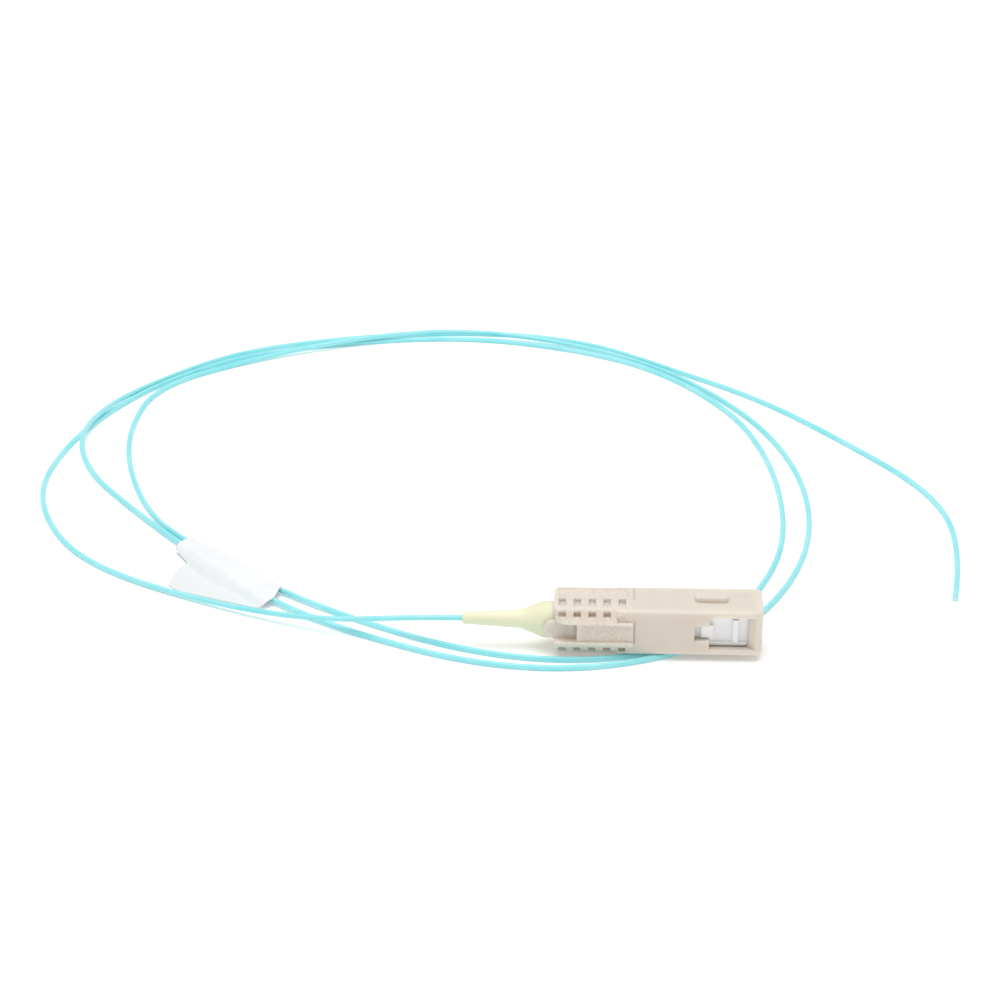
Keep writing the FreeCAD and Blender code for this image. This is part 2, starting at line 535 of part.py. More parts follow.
def make_plug_frame():
    """The inner frame that holds the ferrule's mechanism, with latch ridges and stop bosses on its sides."""
    body = new_body("plug_frame")
    section = new_sketch(body, "frame_section", "YZ_Plane", "-frame_front")
    rounded_rectangle(section, FRAME_HALF, FRAME_RISE, "frame_round")
    pad(body, section, "frame_length", backwards=True)

    # Latch recesses, cut from the front on both sides, then the ridge that a mating latch drops behind.
    ridge_foot = f"({FRAME_HALF} - recess_depth)"
    recess = new_sketch(body, "latch_recess", "YZ_Plane", "-frame_front")
    for sign in (1, -1):
        rectangle(recess, f"{sign} * {ridge_foot}", f"{sign} * {FAR}",
                  "-recess_height / 2", "recess_height / 2")
    pocket(body, recess, "recess_length")
    ridge = new_sketch(body, "latch_ridge", "XZ_Plane", ridge_foot)
    rectangle(ridge, "-ridge_rear", "-ridge_rear + ridge_length", "-ridge_height / 2", "ridge_height / 2")
    one_ridge = pad(body, ridge, "recess_depth + ridge_reach")

    # The stop boss rides in the housing's notch.
    boss = new_sketch(body, "stop_boss", "XZ_Plane", ridge_foot)
    rectangle(boss, "-boss_rear", "-boss_rear + boss_length", "-boss_height / 2", "boss_height / 2")
    one_boss = pad(body, boss, "recess_depth + boss_reach")
    mirrored(body, "both_sides", [one_ridge, one_boss], "XZ_Plane")

    # Bores from both ends, the ferrule's hole through the web, and the windows for the stop ring's snap nubs.
    front = new_sketch(body, "front_bore", "YZ_Plane", "-frame_front")
    pocket(body, circle(front, f"2 * {FRAME_BORE}"), "frame_front_depth")
    rear = new_sketch(body, "frame_rear_bore", "YZ_Plane", FRAME_REAR)
    pocket(body, circle(rear, f"2 * {FRAME_BORE}"), f"{WEB_REAR} - {FRAME_REAR}", backwards=True)
    hole = new_sketch(body, "web_hole", "YZ_Plane", "0")
    circle(hole, "ferrule_diameter + 2 * ferrule_clearance")
    pocket(body, hole, "frame_front + frame_front_depth + 2 * web_thickness")
    snap = new_sketch(body, "snap_windows", "XY_Plane")
    rectangle(snap, f"{NUB_REAR} - seat_gap", f"{NUB_REAR} + snap_length + seat_gap",
              "-snap_width / 2 - seat_gap", "snap_width / 2 + seat_gap")
    pocket(body, snap, f"2 * {FAR}", both_ways=True)
    return body


def make_ferrule():
    """A ground pin with a capillary; a ring groove parts its free length from what the flange grips."""
    body = new_body("ferrule")
    sketch = new_sketch(body, "ferrule_profile", "XZ_Plane")
    radius, bore = "(ferrule_diameter / 2)", "(glass_diameter / 2)"
    mouth = "(ferrule_diameter / 5)"
    waist = f"({radius} - ferrule_groove_depth)"
    groove_front = f"({WEB_FRONT} - seat_gap / 2)"
    groove_rear = f"({groove_front} - ferrule_groove_width)"
    outline(sketch, [
        ("0", bore), ("0", f"{radius} - ferrule_chamfer"), ("-ferrule_chamfer", radius),
        (groove_front, radius), (groove_front, waist), (groove_rear, waist), (groove_rear, radius),
        (FERRULE_REAR, radius), (FERRULE_REAR, mouth), (f"{FERRULE_REAR} + {mouth}", bore),
    ])
    revolve(body, sketch)
    return body


def make_ferrule_flange():
    """A collar that seats on the plug frame's web, a sleeve on the ferrule's rear end and a tail tube."""
    body = new_body("ferrule_flange")
    sketch = new_sketch(body, "flange_profile", "XZ_Plane")
    hold, bore = "(ferrule_diameter / 2)", FIBRE_BORE
    collar, sleeve, tail = f"({FRAME_BORE} - collar_gap)", SLEEVE, FLANGE_TAIL
    tail_rear = f"({SLEEVE_REAR} - flange_tail_length)"
    edge = "flange_slot_depth / 2"
    outline(sketch, [
        (FLANGE_FRONT, hold), (FLANGE_FRONT, f"{collar} - {edge}"), (f"{FLANGE_FRONT} - {edge}", collar),
        (FLANGE_REAR, collar), (FLANGE_REAR, sleeve), (SLEEVE_REAR, sleeve), (SLEEVE_REAR, tail),
        (tail_rear, tail), (tail_rear, bore),
        (FERRULE_REAR, bore), (FERRULE_REAR, hold),
    ])
    revolve(body, sketch)
    slot = new_sketch(body, "tuning_slot", "YZ_Plane", FLANGE_FRONT)
    rectangle(slot, "-flange_slot_width / 2", "flange_slot_width / 2",
              f"{collar} - flange_slot_depth", f"2 * {collar}")
    cut = pocket(body, slot, "flange_length")
    ring = body.newObject("PartDesign::PolarPattern", "tuning_slots")
    ring.Originals = [cut]
    ring.Axis = (origin_feature(body, "X_Axis"), [""])
    ring.Angle = 360.0
    ring.setExpression("Occurrences", bind("flange_slots"))
    body.Tip = ring
    return body


def make_stop_ring():
    """The rear body: an insert that clips into the plug frame, a collar and a ridged post for the boot."""
    body = new_body("stop_ring")
    sketch = new_sketch(body, "stop_profile", "XZ_Plane")
    front_bore, post = f"({FLANGE_TAIL} + tail_clearance)", POST
    collar = f"({FRAME_RISE} - collar_inset)"
    step = f"({STOP_FRONT} - post_front_depth)"
    points = [
        (STOP_FRONT, front_bore), (STOP_FRONT, INSERT_RADIUS),
        (f"{FRAME_REAR} - seat_gap / 2", INSERT_RADIUS), (f"{FRAME_REAR} - seat_gap / 2", collar),
        (COLLAR_REAR, collar), (COLLAR_REAR, post),
    ]
    for ridge in (3, 2, 1):
        crest = f"({POST_REAR} + {ridge} * barb_pitch)"
        points.append((f"{crest} + barb_reach", post))
        points.append((crest, f"{post} + barb_reach"))
        points.append((f"{crest} - barb_pitch / 2", post))
    points += [(POST_REAR, post), (POST_REAR, FIBRE_BORE), (step, FIBRE_BORE), (step, front_bore)]
    revolve(body, outline(sketch, points))
    nub = new_sketch(body, "snap_nub", "XY_Plane", f"{INSERT_RADIUS} - snap_reach")
    rectangle(nub, NUB_REAR, f"{NUB_REAR} + snap_length", "-snap_width / 2", "snap_width / 2")
    one_nub = pad(body, nub, "2 * snap_reach")
    mirrored(body, "both_nubs", [one_nub], "XY_Plane")
    return body


def make_spring():
    """A coil from the flange's collar to the stop ring's front face."""
    body = new_body("spring")
    sketch = new_sketch(body, "wire_section", "XZ_Plane")
    reach, wire = SPRING, "(spring_wire / 2)"
    rear = f"({STOP_FRONT} + {wire} + seat_gap / 2)"
    edge = sketch.addGeometry(Part.Circle(V(value_of(rear), value_of(reach), 0), V(0, 0, 1), value_of(wire)))
    pin_point(sketch, edge, 3, (rear, reach))
    rule = sketch.addConstraint(Sketcher.Constraint("Radius", edge, value_of(wire)))
    sketch.setExpression(f"Constraints[{rule}]", bind(wire))
    coil = body.newObject("PartDesign::AdditiveHelix", "coil")
    coil.Profile = sketch
    coil.ReferenceAxis = (sketch, ["H_Axis"])
    coil.Mode = "height-turns-angle"
    coil.setExpression("Height", bind(f"({FLANGE_REAR} - {STOP_FRONT} - spring_wire - seat_gap) * 1 mm"))
    coil.setExpression("Turns", bind("spring_turns"))
    return body


def make_boot():
    """The strain relief: a head in the housing's rear, a flare and a long slim neck."""
    body = new_body("boot")
    sketch = new_sketch(body, "boot_profile", "XZ_Plane")
    front = f"({COLLAR_REAR} - seat_gap)"
    socket, socket_rear = POST, f"({POST_REAR} - seat_gap)"
    head, neck, end = "(boot_head_diameter / 2)", "(neck_diameter / 2)", "(boot_end_diameter / 2)"
    drop = f"({head} - {neck})"
    slant = f"sqrt(flare_length * flare_length + {drop} * {drop})"
    head_trim = f"(flare_round * ({slant} - flare_length) / {drop})"
    neck_trim = f"(neck_round * ({slant} - flare_length) / {drop})"
    outline(sketch, [
        (front, socket), (front, "boot_front_diameter / 2"), ("-boot_head_front", "boot_front_diameter / 2"),
        ("-boot_head_front", head), (f"-boot_head_rear + {head_trim}", head, "flare_round", True),
        (f"-boot_head_rear - {head_trim} * flare_length / {slant}",
         f"{head} - {head_trim} * {drop} / {slant}"),
        (f"{NECK_FRONT} + {neck_trim} * flare_length / {slant}",
         f"{neck} + {neck_trim} * {drop} / {slant}", "neck_round", False),
        (f"{NECK_FRONT} - {neck_trim}", neck),
        (f"{BOOT_END} + boot_end_round", end, "boot_end_round", True), (BOOT_END, f"{end} - boot_end_round"),
        (BOOT_END, FIBRE_BORE), (socket_rear, FIBRE_BORE), (socket_rear, socket),
    ])
    revolve(body, sketch)
    return body


def make_straight_fibre(label, diameter, front, length):
    """A stretch of fibre on the connector's axis."""
    rod = doc.addObject("Part::Cylinder", label)
    rod.Label = label
    rod.setExpression("Radius", bind(f"({diameter}) / 2 * 1 mm"))
    rod.setExpression("Height", bind(f"({length}) * 1 mm"))
    rod.Placement = FreeCAD.Placement(V(0, 0, 0), FreeCAD.Rotation(V(0, 1, 0), -90))
    rod.setExpression("Placement.Base.x", bind(f"({front}) * 1 mm"))
    return rod


def route_points():
    """The free fibre's route in space: straight out of the boot, then by the list, above the floor."""
    rest = value_of(FLOOR) + size("fibre_diameter") / 2
    exit_x = value_of(BOOT_END)
    straight = [V(exit_x, 0, 0), V(exit_x - size("exit_run"), 0, 0)]
    return straight + [V(x, y, rest + lift) for x, y, lift in ROUTE]


def cord_path(points):
    """Straight runs joined by tangent arcs, each as large as its two runs allow; also prints the radii."""
    edges, radii = [], []
    start = points[0]
    for before, corner, after in zip(points, points[1:], points[2:]):
        into, out = corner - before, after - corner
        trim = 0.45 * min(into.Length, out.Length)
        half_turn = into.getAngle(out) / 2
        radius = trim / math.tan(half_turn)
        radii.append(radius)
        arc_start = corner - into.normalize() * trim
        arc_end = corner + out.normalize() * trim
        towards = ((arc_start + arc_end) / 2 - corner).normalize()
        arc_middle = corner + towards * (radius / math.cos(half_turn) - radius)
        edges.append(Part.LineSegment(start, arc_start).toShape())
        edges.append(Part.Arc(arc_start, arc_middle, arc_end).toShape())
        start = arc_end
    edges.append(Part.LineSegment(start, points[-1]).toShape())
    print("fibre radii, mm:", " ".join(f"{radius:.0f}" for radius in radii))
    return Part.Wire(edges)


def make_fibre_cord():
    """The free fibre as a plain tube along its route."""
    path = cord_path(route_points())
    radius = size("fibre_diameter") / 2
    ring = Part.Wire([Part.Circle(path.Vertexes[0].Point, V(-1, 0, 0), radius).toShape()])
    tube = path.makePipeShell([ring], True, False)
    expected = math.pi * radius * radius * path.Length
    print(f"fibre length {path.Length:.1f} mm, tube volume {tube.Volume:.2f} of {expected:.2f} cubic mm")
    cord = doc.addObject("Part::Feature", "fibre_cord")
    cord.Label = "fibre_cord"
    cord.Shape = tube
    return cord


def film_sketches(body, name, place, far, shoulder, height):
    """The film's outside and its hollow at one place: a flat loop that falls from a shoulder to a tab."""
    film = "film_thickness"
    tab_top = f"(2.6 * {film})"
    fall = f"({height} - {tab_top})"
    run = f"(fall_slope * {fall})"
    bend = f"(({run} * {run} + {fall} * {fall}) / (4 * {fall}))"
    far_round = f"({height} / 2)"
    crown, foot = f"({far_round} - ({far}))", f"({shoulder} + {run})"
    middle = (f"({shoulder} + {run} / 2)", f"({height} + {tab_top}) / 2")
    outside = new_sketch(body, f"film_{name}", "YZ_Plane", place)
    outline(outside, [
        (crown, "0", far_round, False), (f"-({far})", far_round, far_round, False), (crown, height),
        (shoulder, height, bend, False), (*middle, bend, True), (foot, tab_top),
        (f"{foot} + tab_reach", tab_top), (f"{foot} + tab_reach", "0"),
    ])
    # The hollow follows the outside one film thickness in, along the normal at the middle of the fall.
    inner_round = f"({far_round} - {film})"
    inner_middle = (f"{middle[0]} - {film} * {run} / (2 * {bend})",
                    f"{middle[1]} - {film} * ({bend} - {fall} / 2) / {bend}")
    hollow = new_sketch(body, f"hollow_{name}", "YZ_Plane", place)
    outline(hollow, [
        (crown, film, inner_round, False), (f"{film} - ({far})", far_round, inner_round, False),
        (crown, f"{height} - {film}"), (shoulder, f"{height} - {film}", f"({bend} - {film})", False),
        (*inner_middle, f"({bend} + {film})", True), (foot, f"{tab_top} - {film}"), (foot, film),
    ])
    return outside, hollow


def loft(body, kind, sections):
    feature = body.newObject(f"PartDesign::{kind}", f"{kind}_film")
    feature.Profile = sections[0]
    feature.Sections = sections[1:]
    feature.Ruled = True
    return feature


def make_label_sleeve():
    """A film label folded round two strands, with its ends stuck together as a flat tab."""
    body = new_body("label_sleeve")
    narrowing = "(mouth_shoulder - tail_shoulder)"
    crown_far, crown_shoulder = "(mouth_far + tail_far) / 2", f"(mouth_shoulder - {narrowing} / 2)"
    places = [
        ("mouth", "-label_lead", "mouth_far", "mouth_shoulder", "mouth_height"),
        ("rise", "rise_start", "mouth_far", f"(mouth_shoulder - 0.3 * {narrowing})", "mouth_height"),
        ("crown", "crown_start", crown_far, crown_shoulder, "crown_height"),
        ("tail", "label_length - label_lead", "tail_far", "tail_shoulder", "tail_height"),
    ]
    films, hollows = zip(*(film_sketches(body, *place) for place in places))
    loft(body, "AdditiveLoft", list(films))
    loft(body, "SubtractiveLoft", list(hollows))

    # Trim to the outline seen from above.
    plan = new_sketch(body, "label_plan", "XY_Plane")
    around = "2 * label_length"
    rectangle(plan, f"-{around}", around, f"-{around}", around)
    outline(plan, LABEL_OUTLINE)
    pocket(body, plan, "label_length", both_ways=True)
    x, y = LABEL_START
    body.Placement = FreeCAD.Placement(V(x, y, 0), FreeCAD.Rotation(V(0, 0, 1), LABEL_TURN))
    body.setExpression("Placement.Base.z", bind(f"({FLOOR} + film_lift) * 1 mm"))
    return body


subparts = [
    make_outer_housing(),
    make_plug_frame(),
    make_ferrule(),
    make_ferrule_flange(),
    make_straight_fibre("glass_fibre", "glass_diameter", "0", "glass_length"),
    make_spring(),
    make_stop_ring(),
    make_boot(),
    make_straight_fibre("fibre_inner", "fibre_diameter", FIBRE_FRONT, f"{FIBRE_FRONT} - {BOOT_END}"),
    make_fibre_cord(),
    make_label_sleeve(),
]
doc.recompute()

failed = [thing.Name for thing in doc.Objects if "Invalid" in thing.State or "Error" in thing.State]
if failed:
    raise RuntimeError(f"objects that failed to recompute: {failed}")
for subpart in subparts:
    shape = subpart.Shape
    if shape.isNull() or not shape.isValid() or not shape.Solids:
        raise RuntimeError(f"{subpart.Label} has no valid solid")

os.makedirs("parts", exist_ok=True)
for subpart in subparts:
    subpart.Shape.exportStep(f"parts/{subpart.Label}.step")
    box = subpart.Shape.BoundBox
    print(f"{subpart.Label}: {len(subpart.Shape.Solids)} solid, volume {subpart.Shape.Volume:.3f}, "
          f"x {box.XMin:.2f} to {box.XMax:.2f}, y {box.YMin:.2f} to {box.YMax:.2f}, "
          f"z {box.ZMin:.2f} to {box.ZMax:.2f}")
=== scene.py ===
"""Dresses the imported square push-pull fibre pigtail: finishes, the laid fibre and its film label."""
import math

import bmesh
import bpy
from bpy.props import FloatProperty, FloatVectorProperty, IntProperty, PointerProperty
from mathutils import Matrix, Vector, noise


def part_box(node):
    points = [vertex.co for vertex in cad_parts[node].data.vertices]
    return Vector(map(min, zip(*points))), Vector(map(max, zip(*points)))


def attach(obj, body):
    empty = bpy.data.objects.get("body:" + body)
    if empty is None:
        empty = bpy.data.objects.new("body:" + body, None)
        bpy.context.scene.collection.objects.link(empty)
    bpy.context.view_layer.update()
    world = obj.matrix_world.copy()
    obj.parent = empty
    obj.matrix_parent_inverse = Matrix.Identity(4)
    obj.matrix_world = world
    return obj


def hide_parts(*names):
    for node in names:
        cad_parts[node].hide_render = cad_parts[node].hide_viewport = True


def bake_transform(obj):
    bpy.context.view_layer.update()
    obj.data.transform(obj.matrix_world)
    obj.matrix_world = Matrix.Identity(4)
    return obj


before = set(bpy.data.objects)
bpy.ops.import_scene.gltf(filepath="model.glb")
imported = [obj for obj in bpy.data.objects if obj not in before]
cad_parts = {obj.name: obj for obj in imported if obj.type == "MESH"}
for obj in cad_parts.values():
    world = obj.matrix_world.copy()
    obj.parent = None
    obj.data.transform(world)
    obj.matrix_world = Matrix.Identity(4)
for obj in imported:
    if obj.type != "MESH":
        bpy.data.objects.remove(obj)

bl_info = {
    "name": "Square push-pull fibre pigtail",
    "version": (1, 0, 0),
    "blender": (4, 5, 0),
    "location": "View3D > Sidebar > Pigtail",
    "description": "Builds the pieces, finishes and stage of a fibre pigtail on its packed model",
    "category": "Object",
}

# The label's film lies this far above the floor.
FILM_LIFT = 0.00002
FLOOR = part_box("label_sleeve")[0].z - FILM_LIFT

# Heights of the fibre's middle: laid on the floor, inside the label's loop and over another strand.
LAID, IN_LABEL, OVER = -0.00425, -0.0039, -0.0031

# Free fibre from the boot's end to its bare end, in metres.
FIBRE_ROUTE = [
    # straight out of the boot, down to the floor and round the left
    (-0.0462, 0.0, 0.0), (-0.0535, 0.0, 0.0), (-0.0675, 0.0032, -0.00235), (-0.0831, 0.0101, -0.00385),
    (-0.1032, 0.0218, LAID), (-0.1154, 0.0351, LAID), (-0.1229, 0.0565, LAID), (-0.1213, 0.0768, LAID),
    (-0.1164, 0.0935, LAID),
    # first pass along the back, second strand of three, then the inner one
    (-0.1078, 0.1099, LAID), (-0.0938, 0.1242, LAID), (-0.0734, 0.1321, LAID), (-0.0515, 0.1354, LAID),
    (-0.0308, 0.1298, LAID), (-0.0137, 0.1186, LAID),
    # down the right, under the connector and along the front
    (-0.0005, 0.0975, LAID), (0.0048, 0.0765, LAID), (0.0066, 0.0545, LAID), (0.0052, 0.0338, LAID),
    (-0.0018, 0.0132, LAID), (-0.0122, -0.0010, LAID), (-0.0280, -0.0064, LAID), (-0.0455, -0.0032, LAID),
    (-0.0632, 0.0072, LAID),
    # through the label and up the inner left
    (-0.0772, 0.0177, IN_LABEL), (-0.0932, 0.0345, IN_LABEL), (-0.1019, 0.0472, LAID),
    (-0.1084, 0.0669, LAID), (-0.1111, 0.0861, LAID), (-0.1090, 0.1070, LAID),
    # second pass along the back, over the first
    (-0.0920, 0.1222, LAID), (-0.0725, 0.1317, OVER), (-0.0515, 0.1369, OVER), (-0.0300, 0.1324, LAID),
    (-0.0126, 0.1193, LAID),
    # down the right again, outside the first turn
    (0.0012, 0.0984, LAID), (0.0086, 0.0775, LAID), (0.0113, 0.0550, LAID), (0.0092, 0.0330, LAID),
    (0.0016, 0.0120, LAID), (-0.0085, -0.0006, LAID), (-0.0260, -0.0089, LAID), (-0.0435, -0.0076, LAID),
    (-0.0608, 0.0010, LAID),
    # through the label again and over the first turn on the left
    (-0.0771, 0.0124, IN_LABEL), (-0.0956, 0.0356, IN_LABEL), (-0.1061, 0.0509, LAID),
    (-0.1150, 0.0650, LAID), (-0.1193, 0.0790, OVER), (-0.1168, 0.0933, OVER),
    # third pass along the back, outermost, and away to the bare end
    (-0.1092, 0.1100, LAID), (-0.0950, 0.1263, LAID), (-0.0743, 0.1346, LAID), (-0.0505, 0.1387, LAID),
    (-0.0280, 0.1340, LAID), (-0.0115, 0.1192, LAID), (0.0045, 0.1045, LAID), (0.0180, 0.0855, LAID),
    (0.0325, 0.0620, LAID), (0.0356, 0.0400, LAID), (0.0322, 0.0185, LAID),
]

# The stretch of a noise's 0 to 1 range that most of its values lie in.
NOISE_LOW, NOISE_HIGH = 0.3, 0.7
# Faces that meet at more than this angle keep a sharp edge.
SHARP_ANGLE = math.radians(38.0)
# Points of a copied mesh closer than this are one point.
SAME_PLACE = 1e-7
WHITE = (1.0, 1.0, 1.0)


def length(name, description, default):
    """A size in metres for a settings group."""
    return FloatProperty(name=name, description=description, default=default, min=0.0, precision=6,
                         subtype="DISTANCE", unit="LENGTH")


def place_x(name, description, default):
    """A place along X, in metres, for a settings group."""
    return FloatProperty(name=name, description=description, default=default, precision=5,
                         subtype="DISTANCE", unit="LENGTH")


def place(name, description, default):
    """A place in space, in metres, for a settings group."""
    return FloatVectorProperty(name=name, description=description, default=default, precision=5,
                               subtype="XYZ", unit="LENGTH")


def colour(name, description, default):
    """A colour for a settings group."""
    return FloatVectorProperty(name=name, description=description, default=default, size=3,
                               min=0.0, max=1.0, subtype="COLOR")


def amount(name, description, default):
    """A share from 0 to 1 for a settings group."""
    return FloatProperty(name=name, description=description, default=default, min=0.0, max=1.0,
                         subtype="FACTOR")


def power(name, description, default):
    """A lamp's power in watts for a settings group."""
    return FloatProperty(name=name, description=description, default=default, unit="POWER")


class PigtailStage(bpy.types.PropertyGroup):
    """Floor, light and camera."""
    camera_place: place("Camera", "Where the camera stands", (-0.02597, -0.41907, 0.20324))
    camera_turn: FloatVectorProperty(name="Turn", description="How the camera is turned", subtype="EULER",
                                     unit="ROTATION",
                                     default=(math.radians(66.4), 0.0, math.radians(1.965)))
    camera_lens: FloatProperty(name="Lens", description="Focal length on a 36 mm sensor", default=108.0,
                               unit="CAMERA")
    floor_side: length("Floor", "Side of the square floor", 8.0)
    floor_colour: colour("Floor colour", "Pale floor", (0.93, 0.93, 0.93))
    floor_glow: amount("Floor glow", "Light from the lit floor itself, which softens the shadows on it", 0.17)
    sky: amount("Sky", "Strength of the even light from all round", 0.5)
    key_power: power("Key light", "Large soft light above", 8.0)
    key_side: length("Key light side", "Side of the square light above", 0.9)
    key_place: place("Key light place", "Where the light above hangs", (-0.1, 0.0, 1.0))
    fill_power: power("Fill light", "Soft light from the front", 0.06)
    fill_side: length("Fill light side", "Side of the square light in front", 0.7)
    fill_place: place("Fill light place", "Where the light in front stands", (0.35, -0.9, 0.45))
    light_aim: place("Aim", "What the lights point at", (-0.03, 0.04, 0.0))


class PigtailFibre(bpy.types.PropertyGroup):
    """Tight-buffered fibre and its cut end."""
    diameter: length("Diameter", "Fibre over its buffer", 0.0009)
    real_length: length("Length", "Free length from the boot to the bare end", 1.216)
    buffer_colour: colour("Buffer", "Aqua buffer", (0.38, 0.85, 0.89))
    buffer_deep: colour("Buffer, deeper", "Deeper patches in the buffer's colour", (0.27, 0.80, 0.845))
    coating_colour: colour("Coating", "Clear coating round the glass at the cut end", (0.72, 0.86, 0.88))


class PigtailHousing(bpy.types.PropertyGroup):
    """Outer grip housing."""
    edge_round: length("Edges", "Radius of the moulded edges", 0.00015)
    light_share: amount("Light spread", "How much of the light spreads inside the moulding", 0.8)
    light_reach: length("Light reach", "How far light spreads inside the moulding", 0.0016)
    colour: colour("Colour", "Beige moulding", (0.75, 0.675, 0.59))
    colour_dark: colour("Darker colour", "Darker drifts in the moulding", (0.73, 0.655, 0.57))
    grip_front: place_x("Grip", "Where the eroded grip ends, along X", -0.0197)
    grip_edge: length("Grip edge", "Length over which the eroded surface sets in", 0.0003)
    # The grip's colour is the eroded surface's own tone, made lighter as painted light against the shade in
    # its deep channel.
    grip_colour_painted_light: colour("Grip colour", "Eroded surface of the grip", (0.795, 0.715, 0.625))
    pore_colour: colour("Grip pores", "Darker pores in the eroded grip", (0.725, 0.64, 0.55))
    pore_depth: length("Pore depth", "Depth of the pores in the eroded grip", 0.00005)


class PigtailFrame(bpy.types.PropertyGroup):
    """White plug frame behind the windows."""
    edge_round: length("Edges", "Radius of the moulded edges", 0.0001)
    colour: colour("Colour", "White moulding", (0.96, 0.965, 0.97))
    colour_dark: colour("Darker colour", "Darker drifts in the moulding", (0.93, 0.94, 0.95))


class PigtailBoot(bpy.types.PropertyGroup):
    """Strain relief boot."""
    head_rear: place_x("Head", "Where the head's colour starts to pale, along X", -0.0335)
    pale_run: length("Paling", "Length over which the colour pales", 0.004)
    # Painted shade: the head's colour is darker than the neck's, standing in for how light falls on the
    # flared head.
    head_painted_shade_colour: colour("Head colour", "Cream rubber at the flared head", (0.81, 0.80, 0.565))
    neck_colour: colour("Neck colour", "Paler rubber along the neck", (0.885, 0.872, 0.63))
    shade: amount("Greener drifts", "Strength of the greener drifts in the rubber", 0.35)
    shade_colour: colour("Greener", "Greener drifts in the rubber", (0.80, 0.815, 0.56))


class PigtailLabel(bpy.types.PropertyGroup):
    """Film label folded round two strands."""
    thickness: length("Film", "Film thickness", 0.00012)
    mouth_height: length("Mouth height", "Loop at its low end", 0.0014)
    mouth_far: length("Mouth far edge", "Far edge of the loop at its low end", 0.0024)
    mouth_shoulder: length("Mouth shoulder", "Where the low end starts to fall to the tab", 0.00265)
    mouth_fall: FloatProperty(name="Mouth fall", min=1.0, default=2.3,
                              description="Run for drop of the fall to the tab, at the low end")
    crown_height: length("Crown height", "Loop where it is highest", 0.0023)
    tail_height: length("Tail height", "Loop at its other end", 0.0017)
    tail_far: length("Tail far edge", "Far edge of the loop at its other end", 0.00215)
    tail_shoulder: length("Tail shoulder", "Where the other end starts to fall to the tab", 0.0008)
    tail_fall: FloatProperty(name="Tail fall", min=1.0, default=1.25,
                             description="Run for drop of the fall to the tab, at the other end")
    lower_short: length("Lower layer", "How far the lower layer stops short of the upper one", 0.0014)
    wrinkle: length("Wrinkles", "Height of the film's wrinkles", 0.00012)
    along: IntProperty(name="Steps along", description="Grid steps along the strands", default=90, min=8)
    around: IntProperty(name="Steps around", description="Grid steps round the fold", default=150, min=20)
    colour: colour("Colour", "White film", (0.895, 0.90, 0.92))
    tab_colour: colour("Tab", "Film where its ends are stuck together", (0.815, 0.84, 0.855))
    tint: colour("Show-through", "Fibre colour showing through the film", (0.85, 0.895, 0.905))


class PigtailSpring(bpy.types.PropertyGroup):
    """Coil spring between the flange and the stop ring."""
    end_stretch: length("End stretch", "Stretch at each end that stays with its seat", 0.0003)
    colour: colour("Colour", "Drawn steel wire", (0.56, 0.57, 0.58))


class PigtailInner(bpy.types.PropertyGroup):
    """Ferrule, flange, stop ring and glass."""
    ferrule_colour: colour("Ferrule", "Polished ceramic", (0.90, 0.89, 0.86))
    flange_colour: colour("Flange", "Plated metal", (0.72, 0.69, 0.64))
    ring_colour: colour("Stop ring", "Grey moulding", (0.55, 0.54, 0.52))
    glass_colour: colour("Glass", "Bare glass fibre", (0.26, 0.30, 0.32))
    glass_dark: colour("Darker glass", "Darker drifts in the glass", (0.20, 0.24, 0.26))


def settings(context, group):
    """One of this scene's settings groups."""
    return getattr(context.scene, "pigtail_" + group)


def rgba(values):
    return (*values, 1.0)


def shaded(tone, share):
    """A colour made darker by a share under 1, or paler by one over 1."""
    return [min(1.0, share * part) for part in tone]


def eased(share):
    """A share held between 0 and 1 that starts and ends slowly."""
    share = min(max(share, 0.0), 1.0)
    return share * share * (3 - 2 * share)


def shader_of(finish):
    return finish.node_tree.nodes["Principled BSDF"]


def new_finish(name, roughness):
    """A material with a principled shader; returns it, its tree and the shader."""
    finish = bpy.data.materials.new(name)
    finish.use_nodes = True
    shader = shader_of(finish)
    shader.inputs["Roughness"].default_value = roughness
    return finish, finish.node_tree, shader


def grain(tree, scale, detail, stretch=(1.0, 1.0, 1.0)):
    """Noise on the piece's own coordinates; scale is in grains per metre."""
    where = tree.nodes.new("ShaderNodeTexCoord")
    turn = tree.nodes.new("ShaderNodeMapping")
    turn.inputs["Scale"].default_value = stretch
    speck = tree.nodes.new("ShaderNodeTexNoise")
    speck.inputs["Scale"].default_value = scale
    speck.inputs["Detail"].default_value = detail
    tree.links.new(where.outputs["Object"], turn.inputs["Vector"])
    tree.links.new(turn.outputs["Vector"], speck.inputs["Vector"])
    return speck.outputs["Fac"]


def tones(tree, value, dark, light, low=NOISE_LOW, high=NOISE_HIGH):
    """One colour where a value is low, turning into another where it is high."""
    ramp = tree.nodes.new("ShaderNodeValToRGB")
    first, last = ramp.color_ramp.elements
    first.position, first.color = low, rgba(dark)
    last.position, last.color = high, rgba(light)
    tree.links.new(value, ramp.inputs["Fac"])
    return ramp.outputs["Color"]


def spread(tree, value, low, high):
    """A noise's value spread from low to high."""
    shift = tree.nodes.new("ShaderNodeMapRange")
    shift.inputs["From Min"].default_value = NOISE_LOW
    shift.inputs["From Max"].default_value = NOISE_HIGH
    shift.inputs["To Min"].default_value = low
    shift.inputs["To Max"].default_value = high
    tree.links.new(value, shift.inputs["Value"])
    return shift.outputs["Result"]


def along_x(tree, start, end):
    """A value from 0 at one place along X to 1 at another, in the piece's own coordinates."""
    where = tree.nodes.new("ShaderNodeTexCoord")
    axes = tree.nodes.new("ShaderNodeSeparateXYZ")
    shift = tree.nodes.new("ShaderNodeMapRange")
    shift.inputs["From Min"].default_value = start
    shift.inputs["From Max"].default_value = end
    tree.links.new(where.outputs["Object"], axes.inputs["Vector"])
    tree.links.new(axes.outputs["X"], shift.inputs["Value"])
    return shift.outputs["Result"]


